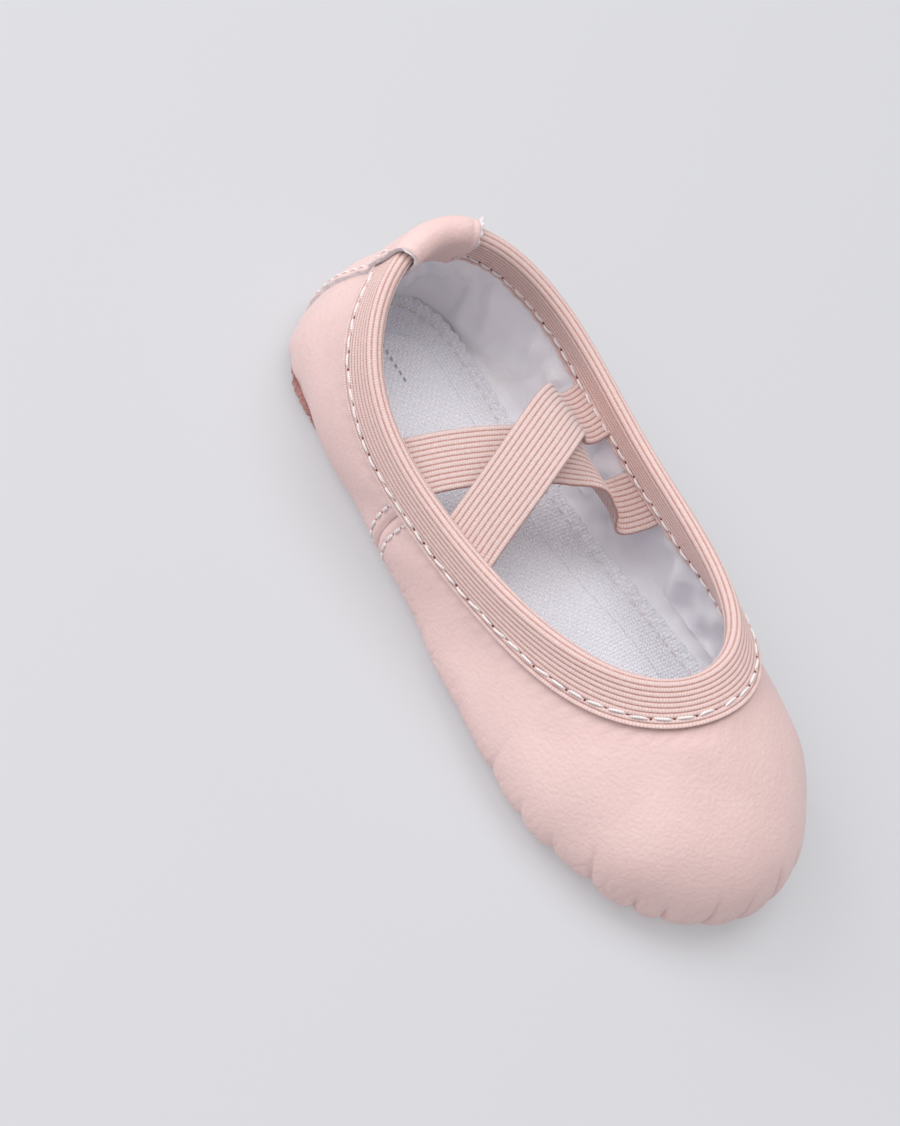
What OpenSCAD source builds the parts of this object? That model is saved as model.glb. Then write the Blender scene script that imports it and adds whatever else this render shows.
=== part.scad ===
// Soft ballet slipper with a split suede sole and two crossed elastic straps.
// Toe towards +X, wearer's left towards +Y, up +Z, standing on the XY plane, centred on the origin.

/* [Ground outline] */
// Front end of the outline where the leather leaves the ground
sole_front_x = 88; // [78:0.5:98]
// Rear end of that outline
sole_back_x = -89.9; // [-96:0.5:-82]
// Half-width factors of the outline at the heel, waist, ball and toe
sole_half = [42.8, 23.2, 30.4, 35.8]; // [18:0.1:46]
// Squareness of the outline's ends, where 2 is an ellipse
sole_power = 2.8; // [2:0.1:3.5]

/* [Topline] */
// Front end of the foot opening, at the throat
top_front_x = 45; // [35:0.5:52]
// Rear end of the foot opening, at the heel
top_back_x = -79; // [-88:0.5:-74]
// Half-width factors of the opening at the heel, waist, ball and throat
top_half = [31, 32.8, 30, 30]; // [20:0.1:38]
// Heights of the topline at the heel, waist, ball and throat
top_height = [49, 33.7, 34, 43.4]; // [28:0.1:60]
// Squareness of the opening's ends, where 2 is an ellipse
top_power = 3.2; // [2:0.1:4]
// Lag of the topline's stations behind those of the ground outline, in degrees
top_lag = 22.4; // [10:0.1:30]

/* [Wall section] */
// Horizontal reach at the ground, for the toe, side and heel
ground_reach = [2, 12.7, 0.9]; // [0:0.1:16]
// Horizontal reach of the belly, for the toe, side and heel
belly_reach = [13.5, 11.8, 3]; // [0:0.1:20]
// Height of the belly, for the toe, side and heel
belly_rise = [20, 7.9, 23]; // [6:0.1:30]
// Slope of the wall below the topline, for the toe, side and heel, in degrees
top_slope = [10.4, 77.5, 79]; // [0:0.1:89]
// Length that keeps that slope, for the toe, side and heel
top_reach = [39, 10, 18]; // [5:0.5:44]

/* [Layers] */
// Thickness of the upper leather
leather_t = 1.2; // [0.8:0.1:1.5]
// Thickness of the lining
lining_t = 0.6; // [0.4:0.1:0.8]
// Thickness of the suede sole patches
suede_t = 1.5; // [1.2:0.1:2]
// Thickness of the elastic
elastic_t = 0.9; // [0.6:0.1:1.2]
// Thickness of the woven insole
insole_t = 1; // [0.8:0.1:1.4]
// Clearance between two layers
gap = 0.1; // [0.05:0.01:0.15]

/* [Seams] */
// Station of the side seam at the ground, in degrees from the toe
seam_low = 104; // [100:1:112]
// Station of the side seam at the topline, in degrees from the toe
seam_high = 117; // [112:1:122]
// Half-width of the butt seam between vamp and quarter, in degrees
seam_gap = 0.2; // [0.15:0.01:0.3]

/* [Sole patches] */
// Rear and front ends of the forefoot patch
fore_patch_x = [5, 73]; // [0:1:76]
// Half-widths of the forefoot patch towards its rear and front
fore_patch_half = [23, 25.5]; // [18:0.5:28]
// Rear and front ends of the heel patch
heel_patch_x = [-86, -45]; // [-88:1:-40]
// Half-widths of the heel patch towards its rear and front
heel_patch_half = [24.5, 25]; // [18:0.5:27]
// Distance of the outer and inner stitch rows from a patch's edge
patch_rows = [4, 8]; // [3:0.5:9]

/* [Binding and heel strip] */
// Depth of the binding below the topline
binding_drop = 9.3; // [8:0.1:12]
// Distance of the binding's stitches from the topline
binding_row = 7.1; // [6:0.1:9]
// Half-width of the heel strip, in degrees of the outline
strip_half = 12.3; // [10:0.1:14]
// Depth of the heel tab inside the heel
tab_drop = 12; // [11:0.5:14]

/* [Straps] */
// Width of a strap along the slipper
strap_w = 17; // [14:0.5:18]
// Place of the rear strap ends along the slipper
strap_rear_x = -32.5; // [-38:0.5:-28]
// Place of the front strap ends along the slipper
strap_front_x = -7.5; // [-14:0.5:-4]
// Distance of the rear and front strap ends from the centre
strap_end_y = [26.5, 25.5]; // [22:0.1:27]
// Height of the strap ends
strap_end_z = 28.5; // [25:0.5:30]
// Rise of the under strap and of the over strap at the middle
strap_rise = [3, 17]; // [2:0.5:18]

/* [Hidden] */

// Layers, as depths below the outer surface of the leather and as heights above the ground
binding_gap = 0.3;
strip_gap = 0.45;
leather_z = suede_t + gap;
lining_depth = leather_t + gap;
binding_in = lining_depth + lining_t + binding_gap;
binding_out = -binding_gap;
strip_in = binding_in + elastic_t + strip_gap;
insole_z = leather_z + lining_depth + lining_t + gap;
pad_top = insole_z - gap;
// The lining stops on the flange under the insole's edge, at this share of the flange
lining_from = 0.6;
// Distance of the insole's edge from the ground outline, for the toe, side and heel
insole_inset = [1.2, 0.6, 3.4];

// Openings in the leather above the patches, each with its half-width, where the foam pads lie
fore_hole = [13, 64];
fore_hole_half = 17;
heel_hole = [-77, -54];
heel_hole_half = 10;
arch_half_gap = 0.15;
// Half of the gap at the back seam, in degrees
back_gap = 0.28;

// Threads, the grooves that they lie in on the suede, and the rows beside the arch seam
thread_r = 0.25;
thread_lift = thread_r + gap;
groove_half = 0.45;
groove_depth = 0.7;
thread_z = groove_depth / 2;
arch_row = 2.4;

// Squareness of a patch's ends, and the places where the driving curves take their four values
patch_power = 2.4;
knots = [-1, -0.33, 0.33, 1];
up = [0, 0, 1];

// Steps of the surfaces
vamp_columns = 40;
quarter_columns = 16;
panel_steps = 14;
fold_steps = 4;

// Cubic through four values at the heel, waist, ball and toe
function weight(t, i) =
    let (q = [for (j = [0:3]) if (j != i) (t - knots[j]) / (knots[i] - knots[j])]) q[0] * q[1] * q[2];
function along(t, v) = weight(t, 0) * v[0] + weight(t, 1) * v[1] + weight(t, 2) * v[2] + weight(t, 3) * v[3];

// Blend of a toe, side and heel value round the outline
function around(a, v, power = 2) =
    let (c = cos(a), toe = c > 0 ? pow(c, power) : 0, heel = c < 0 ? pow(-c, power) : 0)
    v[0] * toe + v[1] * (1 - toe - heel) + v[2] * heel;

// Closed outline with rounded ends, at angle a from the toe
function outline(a, back, front, half, power) =
    let (t = cos(a))
    [(front + back) / 2 + (front - back) / 2 * t,
        sign(sin(a)) * sqrt(max(0, 1 - pow(abs(t), power))) * along(t, half), 0];
function ground(a) = outline(a, sole_back_x, sole_front_x, sole_half, sole_power) + leather_z * up;
function top_angle(a) = a - top_lag * sin(a);
function topline(a) =
    let (g = top_angle(a))
    outline(g, top_back_x, top_front_x, top_half, top_power) + along(cos(g), top_height) * up;
function unit(v) = v / norm(v);
function sideways(p, q) = let (d = unit([q.x - p.x, q.y - p.y, 0])) [d.y, -d.x, 0];
function ground_normal(a) = sideways(ground(a - 0.05), ground(a + 0.05));
function top_normal(a) = sideways(topline(a - 0.05), topline(a + 0.05));
function top_down(a) = let (s = around(a, top_slope, 1.5)) top_normal(a) * cos(s) - up * sin(s);

// Outer surface of the leather: v runs from 0 at the ground to 1 at the topline
function wall(a, v) =
    let (n = ground_normal(a), w = 1 - v, low = ground(a), high = topline(a))
    low * pow(w, 4) + (low + n * around(a, ground_reach)) * 4 * v * pow(w, 3)
    + (low + n * around(a, belly_reach) + up * around(a, belly_rise)) * 6 * v * v * w * w
    + (high + top_down(a) * around(a, top_reach)) * 4 * pow(v, 3) * w + high * pow(v, 4);
function wall_normal(a, v) =
    let (e = 0.004, f = 0.2)
    unit(cross(wall(a + f, v) - wall(a - f, v), wall(a, min(1, v + e)) - wall(a, max(0, v - e))));
function skin(a, v, depth) = wall(a, v) - wall_normal(a, v) * depth;

// Station v at a distance below the topline
function v_below(a, drop, v = 0.85, n = 3) =
    n == 0 ? v : v_below(a, drop, 1 - (1 - v) * drop / norm(topline(a) - wall(a, v)), n - 1);

// Half-width of the opening in the leather above the two patches, closed along the arch
function ellipse_half(x, ends, half) =
    let (t = (2 * x - ends[0] - ends[1]) / (ends[1] - ends[0])) abs(t) < 1 ? half * sqrt(1 - t * t) : 0;
function flange_edge(a) =
    let (x = (fore_hole[1] + heel_hole[0]) / 2 + (fore_hole[1] - heel_hole[0]) / 2 * cos(a))
    [x, sign(sin(a)) * max(arch_half_gap, ellipse_half(x, fore_hole, fore_hole_half),
        ellipse_half(x, heel_hole, heel_hole_half)), leather_z];
function flange(a, k, depth) = flange_edge(a) * (1 - k) + ground(a) * k + up * depth;

// Solid between two grids of points of the same size; a ring closes on itself
function quad(p, q, r, s) = [[p, r, q], [p, s, r]];
module shell(outer, inner, ring = false) {
    m = len(outer);
    n = len(outer[0]);
    last = ring ? m - 1 : m - 2;
    function o(i, j) = (i % m) * n + j;
    function q(i, j) = (m + i % m) * n + j;
    ends = [for (j = [0:n - 2]) each concat(quad(o(0, j), o(0, j + 1), q(0, j + 1), q(0, j)),
        quad(o(m - 1, j), q(m - 1, j), q(m - 1, j + 1), o(m - 1, j + 1)))];
    faces = concat(
        [for (i = [0:last], j = [0:n - 2]) each quad(o(i, j), o(i + 1, j), o(i + 1, j + 1), o(i, j + 1))],
        [for (i = [0:last], j = [0:n - 2]) each quad(q(i, j), q(i, j + 1), q(i + 1, j + 1), q(i + 1, j))],
        [for (i = [0:last]) each quad(o(i, 0), q(i, 0), q(i + 1, 0), o(i + 1, 0))],
        [for (i = [0:last]) each quad(o(i, n - 1), o(i + 1, n - 1), q(i + 1, n - 1), q(i, n - 1))],
        ring ? [] : ends);
    polyhedron(concat([for (r = outer) each r], [for (r = inner) each r]), faces, convexity = 6);
}

// A thread between two points
module stitch(p, q, r = thread_r) {
    d = q - p;
    translate(p) rotate([0, acos(d.z / norm(d)), atan2(d.y, d.x)]) cylinder(h = norm(d), r = r, $fn = 14);
}

// Columns of the upper's panels: the vamp runs round the toe, a quarter from the side seam to the heel
function seam(v) = seam_low + (seam_high - seam_low) * v;
function vamp_angle(k, v) = (2 * k - 1) * (seam(v) - seam_gap);
function quarter_angle(side, k, v) =
    let (s = seam(v) + seam_gap, f = side > 0 ? k : 1 - k) side * (s + (180 - back_gap - s) * f);
function rows(count, low = 0, high = 1) = [for (i = [0:count]) low + (high - low) * i / count];
function panel_angle(side, k, v) = side == 0 ? vamp_angle(k, v) : quarter_angle(side, k, v);
function panel_grid(side, depth, columns, steps, from) = [for (k = rows(columns)) concat(
    [for (f = [from, (1 + from) / 2]) flange(panel_angle(side, k, 0), f, depth)],
    [for (v = rows(steps)) skin(panel_angle(side, k, v), v, depth)])];
module panel(side, depth, thickness, columns, steps, from) {
    shell(panel_grid(side, depth, columns, steps, from), panel_grid(side, depth + thickness, columns, steps, from));
}

module vamp() {
    color("#eac7c0") panel(0, 0, leather_t, vamp_columns, panel_steps, 0);
}
module left_quarter() {
    color("#e8c3bc") panel(1, 0, leather_t, quarter_columns, panel_steps, 0);
}
module right_quarter() {
    color("#e8c3bc") panel(-1, 0, leather_t, quarter_columns, panel_steps, 0);
}
module vamp_lining() {
    color("#f3f0f6") panel(0, lining_depth, lining_t, vamp_columns, panel_steps, lining_from);
}
module left_quarter_lining() {
    color("#f1eef5") panel(1, lining_depth, lining_t, quarter_columns, panel_steps, lining_from);
}
module right_quarter_lining() {
    color("#f1eef5") panel(-1, lining_depth, lining_t, quarter_columns, panel_steps, lining_from);
}

// Flat pieces
module plate(z, thickness, points) {
    translate([0, 0, z]) linear_extrude(thickness) polygon(points);
}
insole_points = [for (a = [0:5:355])
    let (p = ground(a), n = ground_normal(a), d = around(a, insole_inset)) [p.x - n.x * d, p.y - n.y * d]];
function ellipse_points(ends, half, inset) = [for (a = [0:6:354])
    [(ends[0] + ends[1]) / 2 + ((ends[1] - ends[0]) / 2 - inset) * cos(a), (half - inset) * sin(a)]];
module insole() {
    color("#f4f3f8") plate(insole_z, insole_t, insole_points);
}
module forefoot_pad() {
    color("#efe9dc") plate(leather_z, pad_top - leather_z, ellipse_points(fore_hole, fore_hole_half, 1));
}
module heel_pad() {
    color("#efe9dc") plate(leather_z, pad_top - leather_z, ellipse_points(heel_hole, heel_hole_half, 1));
}

// A suede patch: rounded outline, wider towards its front, with a groove for each stitch row
function patch_point(ends, half, inset, a) =
    let (t = cos(a), w = half[0] + (half[1] - half[0]) * (1 + t) / 2 - inset)
    [(ends[0] + ends[1]) / 2 + ((ends[1] - ends[0]) / 2 - inset) * t,
        sign(sin(a)) * w * sqrt(max(0, 1 - pow(abs(t), patch_power)))];
function patch_points(ends, half, inset) = [for (a = [0:4:356]) patch_point(ends, half, inset, a)];
module suede_patch(ends, half) {
    difference() {
        plate(0, suede_t, patch_points(ends, half, 0));
        for (row = patch_rows) difference() {
            plate(-1, 1 + groove_depth, patch_points(ends, half, row - groove_half));
            plate(-2, 3 + groove_depth, patch_points(ends, half, row + groove_half));
        }
    }
}
module patch_stitches(ends, half, row, count) {
    for (i = [0:count - 1]) {
        a = [for (f = [0.2, 0.8]) patch_point(ends, half, row, (i + f) * 360 / count)];
        stitch([a[0].x, a[0].y, thread_z], [a[1].x, a[1].y, thread_z]);
    }
}
module forefoot_sole() {
    color("#c48c88") suede_patch(fore_patch_x, fore_patch_half);
}
module heel_sole() {
    color("#c48c88") suede_patch(heel_patch_x, heel_patch_half);
}
module forefoot_sole_outer_stitching() {
    color("#f2e6e4") patch_stitches(fore_patch_x, fore_patch_half, patch_rows[0], 40);
}
module forefoot_sole_inner_stitching() {
    color("#f2e6e4") patch_stitches(fore_patch_x, fore_patch_half, patch_rows[1], 34);
}
module heel_sole_outer_stitching() {
    color("#f2e6e4") patch_stitches(heel_patch_x, heel_patch_half, patch_rows[0], 22);
}
module heel_sole_inner_stitching() {
    color("#f2e6e4") patch_stitches(heel_patch_x, heel_patch_half, patch_rows[1], 16);
}

// A strip folded over the topline: an outer leg, a round fold and an inner leg
function fold(a, near, far, lift) =
    let (d = -unit(top_down(a)), n = wall_normal(a, 1), c = (near + far) / 2, r = (far - near) / 2)
    [for (f = rows(fold_steps)) topline(a) - n * (c - r * cos(180 * f)) + d * (lift + r * sin(180 * f))];
function leg(a, drop, depth, steps) =
    let (low = v_below(a, drop)) [for (v = rows(steps, low, 1)) skin(a, v, depth)];
function reversed(list) = [for (i = [len(list) - 1:-1:0]) list[i]];
function folded(a, drop, near, far) =
    concat(leg(a, drop, near, 3), fold(a, near, far, gap), reversed(leg(a, drop, far, 3)));
module topline_binding() {
    angles = [for (k = rows(72)) if (k < 1) 360 * k];
    color("#e9bdb3") shell(
        [for (a = angles) folded(a, binding_drop, binding_out - elastic_t, binding_in + elastic_t)],
        [for (a = angles) folded(a, binding_drop, binding_out, binding_in)], true);
}

// The heel strip covers the back seam, passes over the binding and folds in as the heel tab
over_binding = binding_out - elastic_t - strip_gap;
function strip_depth(v, v_edge, depth) =
    let (f = max(0, min(1, (v - v_edge) / 0.05))) (1 - f) * (-gap) + f * over_binding - depth;
function strip_path(a, depth) =
    let (v_edge = v_below(a, binding_drop + 3), near = over_binding - depth, far = strip_in + depth)
    concat([for (v = rows(14, 0.06, 1)) skin(a, v, strip_depth(v, v_edge, depth))],
        fold(a, near, far, 2 * gap + elastic_t), reversed(leg(a, tab_drop, far, 5)));
module heel_strip() {
    angles = [for (k = rows(10)) 180 + strip_half * (2 * k - 1)];
    color("#eac8c0") shell([for (a = angles) strip_path(a, leather_t)], [for (a = angles) strip_path(a, 0)]);
}
module heel_strip_stitching() {
    color("#f6eeee") for (side = [-1, 1], v = rows(11, 0.12, 0.72)) {
        a = 180 + side * (strip_half - 1.8);
        lift = gap + leather_t + thread_lift;
        stitch(skin(a, v, -lift), skin(a, v + 0.03, -lift));
    }
}

// Straps: sheared ribbons from a rear end on one side to a front end on the other
function strap_point(side, rise, t) =
    [strap_rear_x + (strap_front_x - strap_rear_x) * t,
        side * (strap_end_y[0] - (strap_end_y[0] + strap_end_y[1]) * t), strap_end_z + rise * sin(180 * t)];
function strap_grid(side, rise, lift, count) = [for (t = rows(count)) [for (w = [-0.5, 0, 0.5])
    strap_point(side, rise, t) + [w * strap_w, 0, lift]]];
module strap(side, rise) {
    low = strap_grid(side, rise, -elastic_t / 2, 20);
    high = strap_grid(side, rise, elastic_t / 2, 20);
    if (side > 0) shell(high, low);
    else shell(low, high);
}
module under_strap() {
    color("#e6b9ae") strap(-1, strap_rise[0]);
}
module over_strap() {
    color("#ecc4ba") strap(1, strap_rise[1]);
}

// Stitch rows
module binding_stitching() {
    count = 66;
    out = binding_out - elastic_t - thread_lift;
    in = binding_in + elastic_t + thread_lift;
    color("#f7f0f0") for (i = [0:count - 1], depth = [out, in]) {
        a = [for (f = [0.15, 0.85]) (i + f) * 360 / count];
        clear = 180 - strip_half - 3;
        if (a[1] < clear || a[0] > 360 - clear)
            stitch(skin(a[0], v_below(a[0], binding_row), depth), skin(a[1], v_below(a[1], binding_row), depth));
    }
}
module insole_stitching() {
    count = 84;
    z = (insole_z + insole_t + thread_lift - leather_z) * up;
    color("#fbfafc") for (i = [0:count - 1]) {
        a = [for (f = [0.15, 0.85]) (i + f) * 360 / count];
        stitch(ground(a[0]) - ground_normal(a[0]) * 3 + z, ground(a[1]) - ground_normal(a[1]) * 3 + z);
    }
}
module seam_stitches(offset) {
    for (side = [-1, 1], v = rows(7, 0.12, 0.6)) {
        a = side * (seam(v) + offset);
        stitch(skin(a, v, -thread_lift), skin(a, v + 0.045, -thread_lift));
    }
}
module vamp_seam_stitching() {
    color("#f7f0f0") seam_stitches(-2.2);
}
module quarter_seam_stitching() {
    color("#f7f0f0") seam_stitches(2.2);
}
module arch_stitches(low, high) {
    z = leather_z - thread_lift;
    for (side = [-1, 1], x = [low:4:high]) stitch([x, side * arch_row, z], [x + 2.6, side * arch_row, z]);
}
module vamp_arch_stitching() {
    color("#f7f0f0") arch_stitches(-18.5, 0);
}
module quarter_arch_stitching() {
    color("#f7f0f0") arch_stitches(-43, -25);
}

vamp();
left_quarter();
right_quarter();
vamp_lining();
left_quarter_lining();
right_quarter_lining();
insole();
forefoot_pad();
heel_pad();
forefoot_sole();
heel_sole();
topline_binding();
heel_strip();
under_strap();
over_strap();
binding_stitching();
insole_stitching();
heel_strip_stitching();
vamp_seam_stitching();
quarter_seam_stitching();
vamp_arch_stitching();
quarter_arch_stitching();
forefoot_sole_outer_stitching();
forefoot_sole_inner_stitching();
heel_sole_outer_stitching();
heel_sole_inner_stitching();
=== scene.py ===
"""Ballet slipper: the visual model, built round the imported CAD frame.

Shapes are worked out in millimetres from the same driving sizes as the CAD source and turned
into metres when a mesh is made. a is a station round the upper in radians, 0 at the toe and pi
at the heel, and v runs up the wall from 0 at the ground to 1 at the topline.
"""

import math

import bpy
import numpy as np
from mathutils import Matrix, Vector


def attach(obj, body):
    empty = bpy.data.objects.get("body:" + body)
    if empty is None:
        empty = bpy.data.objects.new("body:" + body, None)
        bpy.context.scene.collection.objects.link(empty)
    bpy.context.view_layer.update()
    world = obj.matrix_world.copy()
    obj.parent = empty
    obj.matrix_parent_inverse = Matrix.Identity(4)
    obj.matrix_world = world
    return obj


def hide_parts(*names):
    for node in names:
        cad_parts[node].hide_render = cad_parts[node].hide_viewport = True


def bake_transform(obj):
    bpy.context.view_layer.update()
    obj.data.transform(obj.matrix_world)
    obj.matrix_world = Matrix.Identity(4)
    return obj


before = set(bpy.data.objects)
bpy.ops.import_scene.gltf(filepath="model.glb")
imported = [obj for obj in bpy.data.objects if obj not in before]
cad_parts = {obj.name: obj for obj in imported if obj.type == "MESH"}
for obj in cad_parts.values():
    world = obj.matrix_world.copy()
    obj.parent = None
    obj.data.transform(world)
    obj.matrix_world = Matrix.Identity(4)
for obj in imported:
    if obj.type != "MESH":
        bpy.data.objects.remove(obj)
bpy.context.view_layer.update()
MM = 0.001

# ---------------------------------------------------------------- driving sizes

SOLE_ENDS = (-89.9, 88.0)
SOLE_HALF = (42.8, 23.2, 30.4, 35.8)
SOLE_POWER = 2.8
TOP_ENDS = (-79.0, 45.0)
TOP_HALF = (31.0, 32.8, 30.0, 30.0)
TOP_HEIGHT = (49.0, 33.7, 34.0, 43.4)
TOP_POWER = 3.2
TOP_LAG = math.radians(22.4)
GROUND_REACH = (2.0, 12.7, 0.9)
BELLY_REACH = (13.5, 11.8, 3.0)
BELLY_RISE = (20.0, 7.9, 23.0)
TOP_SLOPE = (10.4, 77.5, 79.0)
TOP_REACH = (39.0, 10.0, 18.0)

LEATHER = 1.2
LINING = 0.6
SUEDE = 1.5
ELASTIC = 0.9
INSOLE = 1.0
GAP = 0.1
LEATHER_Z = SUEDE + GAP
LINING_DEPTH = LEATHER + GAP
LINING_IN = LINING_DEPTH + LINING
INSOLE_Z = LEATHER_Z + LINING_IN + 2 * GAP
# share of the flange under the foot at which the lining stops
LINING_FROM = 0.6

SEAM_LOW = math.radians(104)
SEAM_HIGH = math.radians(117)
SEAM_GAP = math.radians(0.06)
BACK_GAP = math.radians(0.28)

# holes in the leather under the foot: ends and half-width
FORE_HOLE, FORE_HOLE_HALF = (13.0, 64.0), 17.0
HEEL_HOLE, HEEL_HOLE_HALF = (-77.0, -54.0), 10.0
ARCH_HALF_GAP = 0.15
# suede patches: ends, and half-widths towards the rear and the front
FORE_PATCH = ((5.0, 73.0), (23.0, 25.5))
HEEL_PATCH = ((-86.0, -45.0), (24.5, 25.0))
PATCH_POWER = 2.4

# stitch rows: distance from the edge, seam or centre line that they follow
PATCH_ROWS = (4.0, 8.0)
SEAM_ROW = 2.9
ARCH_ROW = 2.4
INSOLE_ROW = 3.0
BINDING_ROW = 2.2
STRIP_ROW = 1.9
STITCH_PITCH = 3.9

BINDING_DROP = 9.3
BINDING_RIBS = 20
STRIP_HALF = math.radians(12.3)
TAB_DROP = 12.0
STRAP_WIDTH = 15.0
STRAP_RIBS = 11

# ---------------------------------------------------------------- shape of the upper

KNOTS = (-1.0, -0.33, 0.33, 1.0)
UP = np.array([0.0, 0.0, 1.0])


def column(values):
    return np.asarray(values)[..., None]


def unit(vectors):
    return vectors / np.maximum(np.linalg.norm(vectors, axis=-1, keepdims=True), 1e-9)


def smooth(x):
    x = np.clip(x, 0, 1)
    return x * x * (3 - 2 * x)


def mound(x, place, width):
    """1 at a place, and down to 0 on both sides of it."""
    return np.exp(-(((x - place) / width) ** 2))


def along(t, values):
    """Cubic through four values at the heel, waist, ball and toe."""
    total = 0
    for i, value in enumerate(values):
        share = 1
        for j, knot in enumerate(KNOTS):
            if j != i:
                share = share * (t - knot) / (KNOTS[i] - knot)
        total = total + share * value
    return total


def around(a, values, power=2.0):
    """Blend of a toe, side and heel value round the outline."""
    toe = np.clip(np.cos(a), 0, None) ** power
    heel = np.clip(-np.cos(a), 0, None) ** power
    return values[0] * toe + values[1] * (1 - toe - heel) + values[2] * heel


def outline(a, ends, half, power, height):
    t = np.cos(a)
    x = sum(ends) / 2 + (ends[1] - ends[0]) / 2 * t
    y = np.sign(np.sin(a)) * np.sqrt(np.clip(1 - np.abs(t) ** power, 0, None)) * along(t, half)
    return np.stack([x, y, height + 0 * x], -1)


def ground(a):
    return outline(a, SOLE_ENDS, SOLE_HALF, SOLE_POWER, LEATHER_Z)


def topline(a):
    g = a - TOP_LAG * np.sin(a)
    return outline(g, TOP_ENDS, TOP_HALF, TOP_POWER, along(np.cos(g), TOP_HEIGHT))


def sideways(line, a, step=0.0009):
    d = line(a + step) - line(a - step)
    return unit(np.stack([d[..., 1], -d[..., 0], 0 * d[..., 0]], -1))


def top_down(a):
    slope = np.radians(around(a, TOP_SLOPE, 1.5))
    return sideways(topline, a) * column(np.cos(slope)) - UP * column(np.sin(slope))


def wall(a, v):
    """Outer surface of the leather."""
    a, v = np.broadcast_arrays(np.asarray(a, float), np.asarray(v, float))
    low, high = ground(a), topline(a)
    normal = sideways(ground, a)
    controls = [
        low,
        low + normal * column(around(a, GROUND_REACH)),
        low + normal * column(around(a, BELLY_REACH)) + UP * column(around(a, BELLY_RISE)),
        high + top_down(a) * column(around(a, TOP_REACH)),
        high,
    ]
    total = 0
    for k, (point, times) in enumerate(zip(controls, (1, 4, 6, 4, 1))):
        total = total + point * column(times * v**k * (1 - v) ** (4 - k))
    return total


def wall_normal(a, v):
    step = 0.0035
    across = wall(a + step, v) - wall(a - step, v)
    upward = wall(a, np.minimum(v + 0.004, 1)) - wall(a, np.maximum(v - 0.004, 0))
    return unit(np.cross(across, upward))


def skin(a, v, depth):
    return wall(a, v) - wall_normal(a, v) * column(depth)


def v_below(a, drop):
    """Station v at a distance below the topline."""
    v = np.full(np.shape(a), 0.85)
    for _ in range(5):
        v = 1 - (1 - v) * drop / np.linalg.norm(topline(a) - wall(a, v), axis=-1)
    return v


def hole_half(x, ends, half):
    t = (2 * x - ends[0] - ends[1]) / (ends[1] - ends[0])
    return half * np.sqrt(np.clip(1 - t * t, 0, None))


def flange_edge(a):
    """Inner edge of the leather turned under the foot."""
    x = (FORE_HOLE[1] + HEEL_HOLE[0]) / 2 + (FORE_HOLE[1] - HEEL_HOLE[0]) / 2 * np.cos(a)
    half = np.maximum(hole_half(x, FORE_HOLE, FORE_HOLE_HALF), hole_half(x, HEEL_HOLE, HEEL_HOLE_HALF))
    y = np.sign(np.sin(a)) * np.maximum(ARCH_HALF_GAP, half)
    return np.stack([x, y, LEATHER_Z + 0 * x], -1)


def seam(v):
    return SEAM_LOW + (SEAM_HIGH - SEAM_LOW) * smooth(v)


def outside_patch(points, patch):
    """0 well inside a suede patch's outline, 1 outside it."""
    (back, front), (rear_half, front_half) = patch
    t = (2 * points[..., 0] - front - back) / (front - back)
    half = rear_half + (front_half - rear_half) * (1 + t) / 2
    return smooth((np.abs(t) ** PATCH_POWER + (points[..., 1] / half) ** 2 - 0.9) / 0.25)


def panel_angle(side, k, v):
    """Station of column k (0 to 1) of the vamp (side 0) or of a quarter (side 1 or -1)."""
    if side == 0:
        return (2 * k - 1) * (seam(v) - SEAM_GAP)
    first = seam(v) + SEAM_GAP
    return side * (first + (math.pi - BACK_GAP - first) * (k if side > 0 else 1 - k))


def panel(side, depth, columns, flange_rows, wall_rows, flange_from=0.0):
    """Grid of points of one panel, from under the foot up to the topline."""
    k = np.linspace(0, 1, columns)[:, None]
    f = np.linspace(flange_from, 1, flange_rows, endpoint=False)[None, :, None]
    a = panel_angle(side, k, np.zeros((1, 1)))
    under = flange_edge(a) * (1 - f) + ground(a) * f + UP * depth
    v = np.linspace(0, 1, wall_rows)[None, :]
    return np.concatenate([under, skin(panel_angle(side, k, v), v, depth)], 1)


# ---------------------------------------------------------------- grids and noise


def waves(points, size, seed, stretch=(1, 1, 1), count=14):
    """Soft seeded noise of about unit height, with features of a given size."""
    rng = np.random.default_rng(seed)
    ways = unit(rng.normal(size=(count, 3))) * (2 * math.pi / size) * rng.uniform(0.5, 1.5, (count, 1))
    phase = rng.uniform(0, 2 * math.pi, count)
    return np.sin((points / np.array(stretch)) @ ways.T + phase).sum(-1) * math.sqrt(2 / count) * 0.7


def grid_normals(grid, ring=False):
    if ring:
        across = np.roll(grid, -1, 0) - np.roll(grid, 1, 0)
    else:
        across = np.gradient(grid, axis=0)
    return unit(np.cross(across, np.gradient(grid, axis=1)))


def run(grid, axis, ring=False):
    """Distance along the grid's columns (axis 0) or up its rows (axis 1)."""
    steps = np.linalg.norm(np.diff(grid, axis=axis), axis=-1)
    start = np.zeros_like(np.take(steps, [0], axis))
    line = np.concatenate([start, np.cumsum(steps, axis)], axis)
    if ring:
        last = np.linalg.norm(grid[:1] - grid[-1:], axis=-1)
        line = np.concatenate([line, line[-1:] + last], 0)
    return line


def sample(grid, i, j):
    """Values of a grid at fractional columns i and rows j."""
    i = np.clip(i, 0, grid.shape[0] - 1.001)
    j = np.clip(j, 0, grid.shape[1] - 1.001)
    i0, j0 = np.floor(i).astype(int), np.floor(j).astype(int)
    fi, fj = column(i - i0), column(j - j0)
    low = grid[i0, j0] * (1 - fi) + grid[i0 + 1, j0] * fi
    high = grid[i0, j0 + 1] * (1 - fi) + grid[i0 + 1, j0 + 1] * fi
    return low * (1 - fj) + high * fj


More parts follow.
